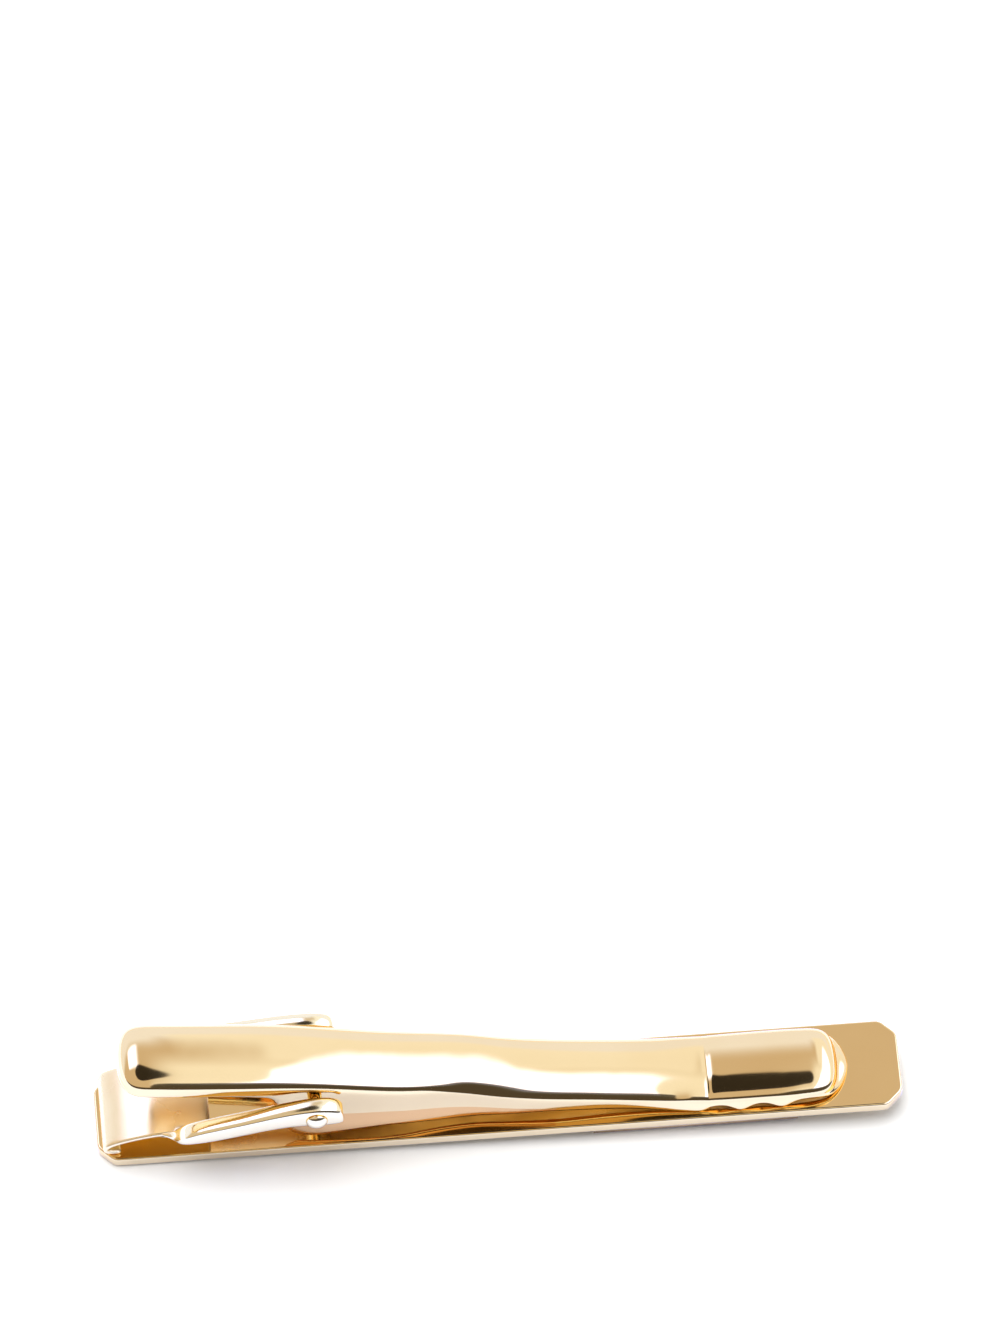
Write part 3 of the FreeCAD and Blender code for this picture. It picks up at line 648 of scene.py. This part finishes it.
# Metres, metres and watts
LAMP_DISTANCE, LAMP_SIZE, LAMP_WATTS = 0.8, 0.8, 5.6
lamp = bpy.data.lights.new("large_lamp", "AREA")
lamp.size, lamp.energy = LAMP_SIZE, LAMP_WATTS
large_lamp = bpy.data.objects.new("large_lamp", lamp)
large_lamp.location = LAMP_TOWARD.normalized() * LAMP_DISTANCE
large_lamp.rotation_euler = LAMP_TOWARD.to_track_quat("Z", "Y").to_euler()
large_lamp.visible_glossy = False
bpy.context.scene.collection.objects.link(large_lamp)
print("lamp at", [round(c, 2) for c in large_lamp.location])

# %% [markdown]
# ### Directions as places on a ceiling
# A direction that points upwards meets a flat ceiling one metre up at a certain place, so X and Y divided
# by Z make a map on which a soft box is a plain rectangle. A third axis, aslant, cuts off a corner.
# Towards the camera, an angle from straight up is handier: how far a direction leans to that side.

# %% Lay out the ceiling
HORIZON, SLANT = 0.05, -2.0
world = bpy.data.worlds.new("studio")
bpy.context.scene.world = world
world.use_nodes = True
tree = world.node_tree
tree.nodes.clear()
toward = add_node(tree, "ShaderNodeSeparateXYZ", inputs={
    "Vector": add_node(tree, "ShaderNodeTexCoord").outputs["Generated"]}).outputs
upward = add_node(tree, "ShaderNodeMath", {"operation": "MAXIMUM"}, {0: toward["Z"], 1: HORIZON})
ceiling = {axis: add_node(tree, "ShaderNodeMath", {"operation": "DIVIDE"}, {
    0: toward[axis], 1: upward.outputs["Value"]}).outputs["Value"] for axis in "XY"}
minus_y = add_node(tree, "ShaderNodeMath", {"operation": "MULTIPLY"}, {0: toward["Y"], 1: -1.0})
lean = add_node(tree, "ShaderNodeMath", {"operation": "ARCTAN2"}, {
    0: minus_y.outputs["Value"], 1: toward["Z"]}).outputs["Value"]
ceiling["slant"] = add_node(tree, "ShaderNodeMath", {"operation": "MULTIPLY_ADD"}, {
    0: ceiling["X"], 1: SLANT, 2: ceiling["Y"]}).outputs["Value"]
print("ceiling axes:", sorted(ceiling))

# %% [markdown]
# ### The light on the walls
# The walls are painted first, then each light over what is there already, as a sign writer works. A light
# is a colour and a few soft edges, bluish for the same reason as the mirrored paper. The box on the right
# lights the neck of the lever, and the one on the left lights the rim of its pad.

# %% Paint the light on the walls
WALL, HAZE, BOX = linear("#D6D5FF", 1.10), linear("#ADBCFF", 2.65), linear("#899BFF", 8.0)
FAR_WALL = linear("#9DAEFF", 3.1)
LIGHTS = (
    # colour, strength, then soft edges: along which axis, from where it starts to where it ends
    (FAR_WALL, 1.00, ("Y", 0.62, 1.35)),
    (FAR_WALL, 1.00, ("Y", 0.56, 1.15), ("X", 0.22, 0.12)),
    (HAZE, 1.00, ("X", 2.0, 3.0)),
    (HAZE, 0.95, ("X", 0.21, 0.31), ("X", 4.0, 3.0), ("Y", 0.2, 0.5), ("Y", 1.6, 1.2)),
    (HAZE, 1.00, ("X", 0.06, 0.22), ("X", 4.0, 3.0), ("Y", -1.7, -1.3), ("Y", 0.65, 0.2)),
    (BOX, 1.00, ("X", 0.272, 0.292), ("X", 2.2, 1.5), ("Y", -1.5, -1.3), ("Y", 0.98, 0.80),
     ("slant", -0.34, -0.60)),
    (BOX, 1.00, ("X", -0.85, -0.60), ("X", 0.0, -0.14), ("Y", 0.16, 0.38), ("Y", 0.85, 0.70)),
)
painted = WALL
for colour, strength, *edges in LIGHTS:
    cover = strength
    for axis, start, end in edges:
        edge = add_node(tree, "ShaderNodeMapRange", {"interpolation_type": "SMOOTHSTEP"}, {
            "Value": ceiling[axis], "From Min": min(start, end), "From Max": max(start, end),
            "To Min": float(start > end), "To Max": float(start < end)})
        cover = add_node(tree, "ShaderNodeMath", {"operation": "MULTIPLY"}, {
            0: cover, 1: edge.outputs["Result"]}).outputs["Value"]
    painted = add_node(tree, "ShaderNodeMix", {"data_type": "RGBA"}, {
        "Factor": cover, "A": painted, "B": colour}).outputs["Result"]
print("painted", len(LIGHTS), "patches of light")

# %% [markdown]
# ### The dark side
# Gold without something dark to mirror looks flat, so a black oval card hangs nearly overhead, leaning a
# little towards the camera. It shows as the dark line along the lever's near shoulder and the oval on its
# jaw. Everything low on the camera's side of the room is dark too. For soft light on the paper the room
# is plain white, brighter behind the table, and the camera itself sees plain white beyond the table.

# %% Paint the dark side and switch the room on
CARD_MIDDLE, CARD_HALF_WIDTH, CARD_DARK = -0.02, 0.18, 0.05
CARD_LEAN, CARD_LEAN_END = math.radians(4.5), math.radians(27.5)
CARD_EDGE = (0.92, 1.05)
# The dark side starts at one lean in front of the camera and at another to the right of it
DARK_AHEAD, DARK_RIGHT, DARK_RUN = math.radians(62), math.radians(46), math.radians(5)
AHEAD_END, RIGHT_START, SIDE_DARK = 0.04, 0.11, 0.12
SOFT_FRONT, SOFT_BEHIND = 0.10, 1.6
card_wide = add_node(tree, "ShaderNodeMapRange", {"clamp": False}, {
    "Value": toward["X"], "From Min": CARD_MIDDLE, "From Max": CARD_MIDDLE + CARD_HALF_WIDTH})
card_long = add_node(tree, "ShaderNodeMapRange", {"clamp": False}, {
    "Value": lean, "From Min": CARD_LEAN, "From Max": CARD_LEAN_END})
oval = add_node(tree, "ShaderNodeVectorMath", {"operation": "LENGTH"}, {
    "Vector": add_node(tree, "ShaderNodeCombineXYZ", inputs={
        "X": card_wide.outputs["Result"], "Y": card_long.outputs["Result"]}).outputs["Vector"]})
card = add_node(tree, "ShaderNodeMapRange", {"interpolation_type": "SMOOTHSTEP"}, {
    "Value": oval.outputs["Value"], "From Min": CARD_EDGE[0], "From Max": CARD_EDGE[1],
    "To Min": CARD_DARK, "To Max": 1.0})
dark_from = add_node(tree, "ShaderNodeMapRange", {"interpolation_type": "SMOOTHSTEP"}, {
    "Value": toward["X"], "From Min": AHEAD_END, "From Max": RIGHT_START,
    "To Min": DARK_AHEAD, "To Max": DARK_RIGHT})
past = add_node(tree, "ShaderNodeMath", {"operation": "SUBTRACT"}, {0: lean, 1: dark_from.outputs["Result"]})
low = add_node(tree, "ShaderNodeMapRange", {"interpolation_type": "SMOOTHSTEP"}, {
    "Value": past.outputs["Value"], "From Min": 0.0, "From Max": DARK_RUN,
    "To Min": 1.0, "To Max": SIDE_DARK})
shade = add_node(tree, "ShaderNodeMath", {"operation": "MULTIPLY"}, {
    0: card.outputs["Result"], 1: low.outputs["Result"]})
room = add_node(tree, "ShaderNodeBackground", inputs={"Color": painted, "Strength": shade.outputs["Value"]})
# More of the soft light comes from behind the table than from the camera's side
behind = add_node(tree, "ShaderNodeMapRange", inputs={
    "Value": toward["Y"], "From Min": -1.0, "From Max": 1.0, "To Min": SOFT_FRONT, "To Max": SOFT_BEHIND})
even = add_node(tree, "ShaderNodeBackground", inputs={
    "Color": linear("#FFFFFF"), "Strength": behind.outputs["Result"]})
white = add_node(tree, "ShaderNodeBackground", inputs={"Color": linear("#FFFFFF"), "Strength": 1.0})
path = add_node(tree, "ShaderNodeLightPath").outputs
for_metal = add_node(tree, "ShaderNodeMixShader", inputs={
    "Fac": path["Is Glossy Ray"], 1: even.outputs["Background"], 2: room.outputs["Background"]})
for_camera = add_node(tree, "ShaderNodeMixShader", inputs={
    "Fac": path["Is Camera Ray"], 1: for_metal.outputs["Shader"], 2: white.outputs["Background"]})
add_node(tree, "ShaderNodeOutputWorld", inputs={"Surface": for_camera.outputs["Shader"]})
print("the room has", len(tree.nodes), "nodes")
